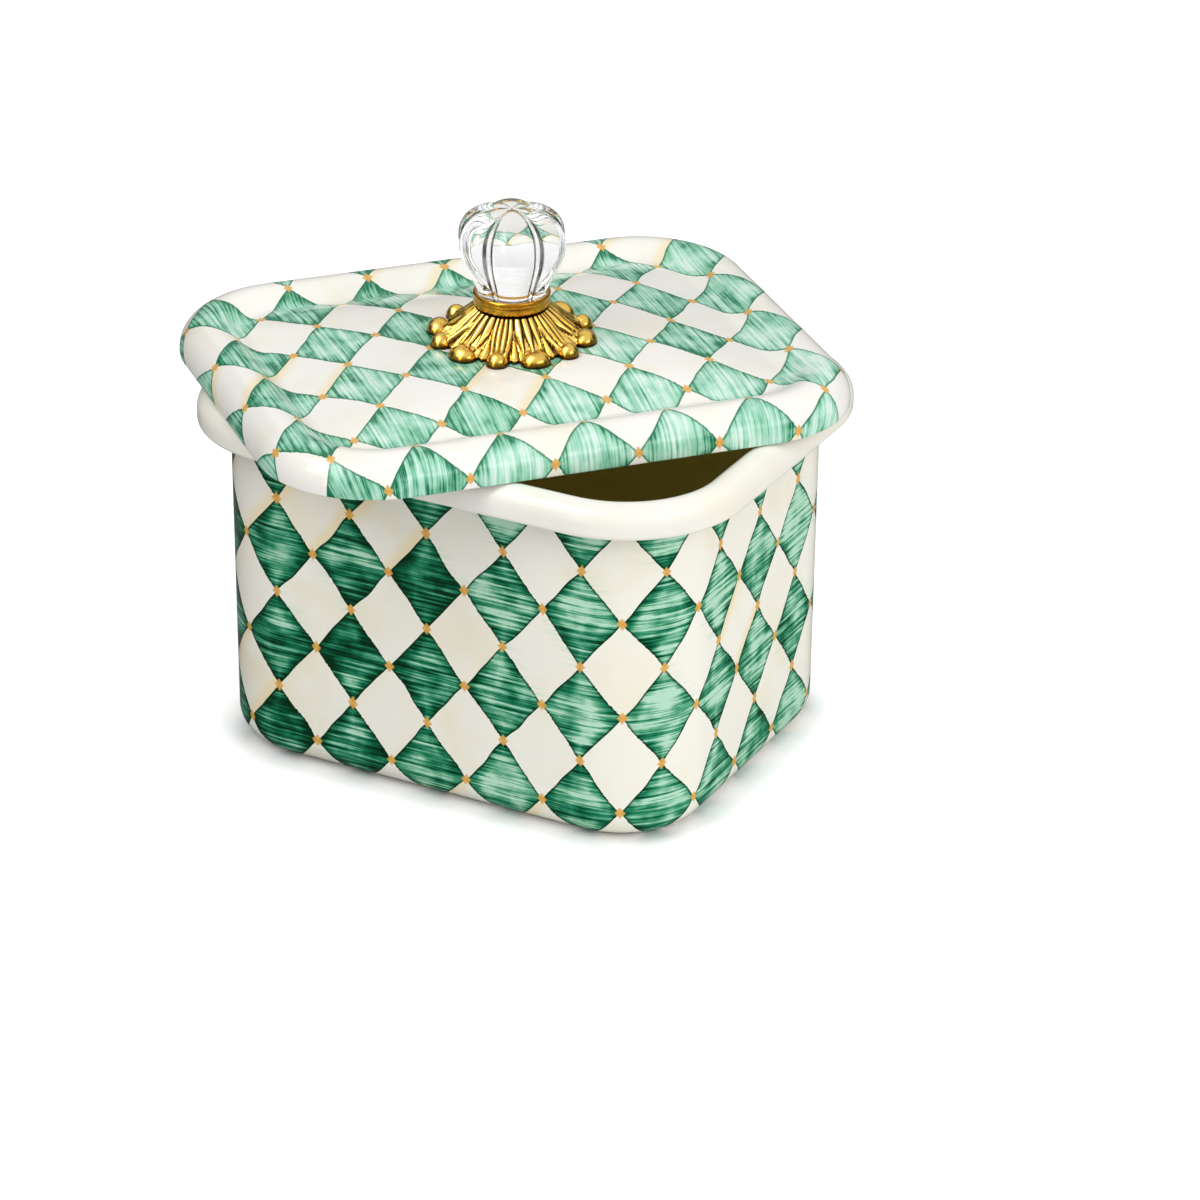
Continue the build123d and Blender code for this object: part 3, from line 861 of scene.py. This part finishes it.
def make_glass_knob(finish):
    """Fluted melon of glass: round lobes, sharp grooves, and a star where they close at the crown.

    The marks put a painted dark line, standing in for shade by refraction, down each groove and
    round the neck.
    """
    count = LOBES * LOBE_COLUMNS
    skin = Skin()

    def ring(radius, groove, height, dip=0.0, shade=0.0, rim=0.0):
        row, marks = [], []
        for step in range(count):
            turn = 2 * pi * step / count
            hollow = 1 - abs(cos(LOBES * turn / 2)) ** 0.5
            reach = radius * (1 + groove - 2.8 * groove * hollow)
            row.append(polar(reach, turn + radians(GLASS_TURN), height - dip * hollow))
            # Painted shade: a dark line along each groove, and with rim a dark ring all round
            painted_dark_line = smoothstep(0.4, 0.43, hollow) * (1 - smoothstep(0.6, 0.66, hollow))
            marks.append((max(shade * painted_dark_line, rim), 0.0, 0.0))
        return skin.row(row, marks + marks[:1])

    foot_radius = COLLAR_RADIUS - COLLAR_WALL - 0.05
    neck_radius = foot_radius + GLASS_SHOULDER
    foot = ring(foot_radius - 0.5, 0.0, GLASS_FOOT + 0.1)
    skin.cap(foot, count, below=True)
    ring(foot_radius, 0.0, GLASS_FOOT + 0.6)
    ring(foot_radius, 0.0, GLASS_NECK - 1.0)
    # rim paints a dark ring of shade where the lobes meet the foot
    ring(foot_radius, NECK_GROOVE * GLASS_GROOVE, GLASS_NECK - 0.5, rim=0.75)
    ring(foot_radius + 0.25, NECK_GROOVE * GLASS_GROOVE, GLASS_NECK - 0.15, rim=0.5)
    for share in spread(0.0, 1.0, 30):
        swell = sin(share * pi / 2) ** GLASS_SWELL
        ring(neck_radius + (GLASS_RADIUS - neck_radius) * swell,
             GLASS_GROOVE * (NECK_GROOVE + (1 - NECK_GROOVE) * swell),
             GLASS_NECK + share * (GLASS_WIDEST - GLASS_NECK),
             shade=0.7 + 0.3 * smoothstep(0.05, 0.2, share))
    for share in spread(0.0, 1.0, 34)[1:]:
        rise = sin(share * pi / 2)
        radius = GLASS_RADIUS * max(1 - rise ** GLASS_DOME, 0.0) ** (1 / GLASS_DOME)
        dimple = CROWN_DIMPLE * (1 - smoothstep(0.0, CROWN_DIMPLE_RADIUS, radius))
        last = ring(max(radius, 0.15), GLASS_GROOVE,
                    GLASS_WIDEST + (GLASS_CROWN - GLASS_WIDEST) * rise - dimple,
                    dip=0.5 * smoothstep(0.35, 0.9, rise), shade=1 - smoothstep(0.8, 0.98, rise))
    skin.cap(last, count)
    skin.build("glass_melon", KNOB_PLACE, (finish,), "lid", "glass_knob")


def make_object(nodes):
    """The five dressed pieces, and finishes for the nodes that stay as they are packed."""
    cream = cream_finish("cream_enamel")
    painted_box = harlequin_finish("painted_box", False, BOX_CREAMS, DEEP_GREENS,
                                   (0.625, 0.0027), 3.2, 0.2)
    make_box_body(painted_box, cream, lining_finish("lining_enamel"))
    painted_lid = harlequin_finish("painted_lid", True, CREAMS, PALE_GREENS,
                                   (0.56, 0.0012), 3.0, 0.4)
    make_lid_pan(painted_lid, cream)
    make_knob_base(brass_finish("cast_brass"))
    make_knob_collar(bronze_finish("bronzed_brass"))
    make_glass_knob(glass_finish("clear_glass"))
    steel = plain_finish("plated_steel", srgb(204, 204, 200), srgb(164, 164, 160),
                         (0.25, 0.45), Metallic=1.0)
    rubber = plain_finish("black_rubber", srgb(38, 38, 38), srgb(24, 24, 24), (0.6, 0.85))
    cement = plain_finish("white_cement", srgb(250, 249, 246), srgb(240, 239, 234), (0.5, 0.7))
    for name, finish in (("knob_screw", steel), ("flat_washer", steel),
                         ("rubber_washer", rubber), ("glass_cement", cement)):
        for slot in nodes[name].material_slots:
            slot.material = finish


def make_floor():
    """Pale floor, which keeps the object's shadow.

    The camera and light through glass see it lifted to white. Metal and glass mirror it dark, and
    its left part throws little light back, as the dark end of the photograph's set.
    """
    corners = [(-FLOOR_REACH, -FLOOR_REACH), (FLOOR_REACH, -FLOOR_REACH),
               (FLOOR_REACH, FLOOR_REACH), (-FLOOR_REACH, FLOOR_REACH)]
    floor = new_object("floor", [(x, y, FLOOR_Z) for x, y in corners], [(0, 1, 2, 3)])
    finish = Finish("pale_floor", Roughness=0.9, Specular_IOR_Level=0.0,
                    Emission_Color=(1.0, 1.0, 1.0, 1.0))
    place = finish.node("TexCoord").outputs["Object"]
    paths = finish.node("LightPath").outputs
    tone = finish.noise(place, scale=3.0)[0]
    pale = finish.mix(tone, (0.92, 0.92, 0.92), (0.91, 0.91, 0.91))
    left = finish.invert(finish.step(finish.parts(place)[0], -0.25, 0.15))
    pale = finish.mix(finish.times(left, paths["Is Diffuse Ray"]), pale, (0.3, 0.3, 0.3))
    mirrored = finish.times(paths["Is Glossy Ray"], finish.invert(paths["Is Transmission Ray"]))
    finish.set("Base Color", finish.mix(mirrored, pale, (0.2, 0.2, 0.2)))
    # Painted contact shadow: near the box, where the occlusion node finds it close, the lift to
    # white fades
    painted_contact_shadow = finish.node("AmbientOcclusion", samples=4)
    painted_contact_shadow.inputs["Distance"].default_value = 0.012
    seen = finish.times(paths["Is Camera Ray"], finish.step(painted_contact_shadow.outputs["AO"], 0.45, 0.95))
    through = finish.times(paths["Is Transmission Ray"], 0.2)
    finish.set("Emission Strength", finish.math("MULTIPLY_ADD", seen, 0.46, through))
    floor.data.materials.append(finish.material)


def make_world():
    """Soft white light, weaker from the far left. The camera, metal and glass see it brighter."""
    world = bpy.data.worlds.new("studio")
    world.use_nodes = True
    bpy.context.scene.world = world
    light = Tree(world.node_tree)
    direction = light.node("TexCoord").outputs["Generated"]
    x, y, z = light.parts(direction)

    def towards(axis):
        node = light.node("VectorMath", operation="DOT_PRODUCT")
        light.feed(node.inputs[0], direction)
        node.inputs[1].default_value = axis
        return node.outputs["Value"]

    # What lights the object, then what gloss shows: a strip in front, a soft box and the sky
    lit = light.step(towards((0.87, 0.0, 0.5)), -0.85, 0.9, 0.12, 0.95)
    aside = light.math("ABSOLUTE", towards((0.978, -0.208, 0.0)))
    strip = light.step(aside, 0.08, 0.16, 3.0, 0.0)
    strip = light.step(y, -0.3, -0.1, strip, 0.0)
    strip = light.step(towards((-0.362, -0.315, 0.878)), 0.958, 0.985, strip, 4.5)
    mirrored = light.math("ADD", light.step(z, 0.15, 0.8, 0.24, 1.0), strip)
    through = light.step(x, -0.95, -0.5, 0.6, 1.0)

    paths = light.node("LightPath").outputs
    strength = light.span(paths["Is Glossy Ray"], lit, mirrored)
    strength = light.span(paths["Is Transmission Ray"], strength, through)
    strength = light.span(paths["Is Camera Ray"], strength, 1.0)
    background = light.tree.nodes["Background"]
    background.inputs["Color"].default_value = (1.0, 1.0, 1.0, 1.0)
    light.feed(background.inputs["Strength"], strength)


def stand_at(azimuth):
    """Level direction from the box. Azimuth 0 is in front, 90 to the right."""
    turn = radians(azimuth)
    return Vector((sin(turn), -cos(turn), 0.0))


def make_lamp(name, azimuth, elevation, distance, size, power):
    """Area lamp that looks at the box."""
    lamp = bpy.data.lights.new(name, "AREA")
    lamp.shape = "RECTANGLE"
    lamp.size, lamp.size_y = size
    lamp.energy = power
    thing = bpy.data.objects.new(name, lamp)
    tilt = radians(elevation)
    away = stand_at(azimuth) * cos(tilt) + Vector((0.0, 0.0, sin(tilt)))
    thing.location = LAMP_TARGET + away * distance
    thing.rotation_euler = (-away).to_track_quat("-Z", "Y").to_euler()
    bpy.context.scene.collection.objects.link(thing)


def make_flag(name, azimuth, width):
    """Black card that stands beside the set, seen only in gloss."""
    half = width / 2
    flag = new_object(name, [(-half, 0, 0), (half, 0, 0), (half, 0, FLAG_HEIGHT),
                             (-half, 0, FLAG_HEIGHT)], [(0, 1, 2, 3)])
    flag.location = stand_at(azimuth) * FLAG_DISTANCE
    flag.rotation_euler = Euler((0, 0, radians(azimuth)))
    finish = Finish("black_card_" + name, Roughness=0.9, Specular_IOR_Level=0.0)
    tone = finish.noise(finish.place(), scale=0.01)[0]
    finish.set("Base Color", finish.mix(tone, (0.01, 0.01, 0.01), (0.02, 0.02, 0.02)))
    flag.data.materials.append(finish.material)
    flag.visible_camera = False
    flag.visible_diffuse = False
    flag.visible_transmission = False
    flag.visible_shadow = False


def make_camera():
    """The photograph's viewing angle: a long lens from the right front, looking down."""
    heading, pitch, roll = (radians(angle) for angle in CAMERA_ANGLES)
    forward = Vector((-sin(heading) * cos(pitch), cos(heading) * cos(pitch), -sin(pitch)))
    right = Vector((cos(heading), sin(heading), 0))
    up = right.cross(forward)
    side = right * cos(roll) + up * sin(roll)
    top = up * cos(roll) - right * sin(roll)
    camera = bpy.data.objects.new("camera", bpy.data.cameras.new("camera"))
    camera.data.lens = CAMERA_LENS
    camera.data.sensor_width = 36.0
    camera.data.clip_end = 30.0
    turned = Matrix((side, top, -forward)).transposed().to_4x4()
    camera.matrix_world = Matrix.Translation(CAMERA_PLACE) @ turned
    bpy.context.scene.collection.objects.link(camera)
    bpy.context.scene.camera = camera


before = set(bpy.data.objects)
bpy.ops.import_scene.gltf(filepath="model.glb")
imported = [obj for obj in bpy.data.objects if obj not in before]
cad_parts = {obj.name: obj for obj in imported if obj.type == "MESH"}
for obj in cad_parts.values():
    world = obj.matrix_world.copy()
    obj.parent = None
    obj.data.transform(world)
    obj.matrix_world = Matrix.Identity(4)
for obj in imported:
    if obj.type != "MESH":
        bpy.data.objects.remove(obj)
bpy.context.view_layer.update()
make_object(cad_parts)
make_floor()
make_world()
for lamp in LAMPS:
    make_lamp(*lamp)
for flag in FLAGS:
    make_flag(*flag)
make_camera()
bpy.context.scene.view_settings.view_transform = "Standard"
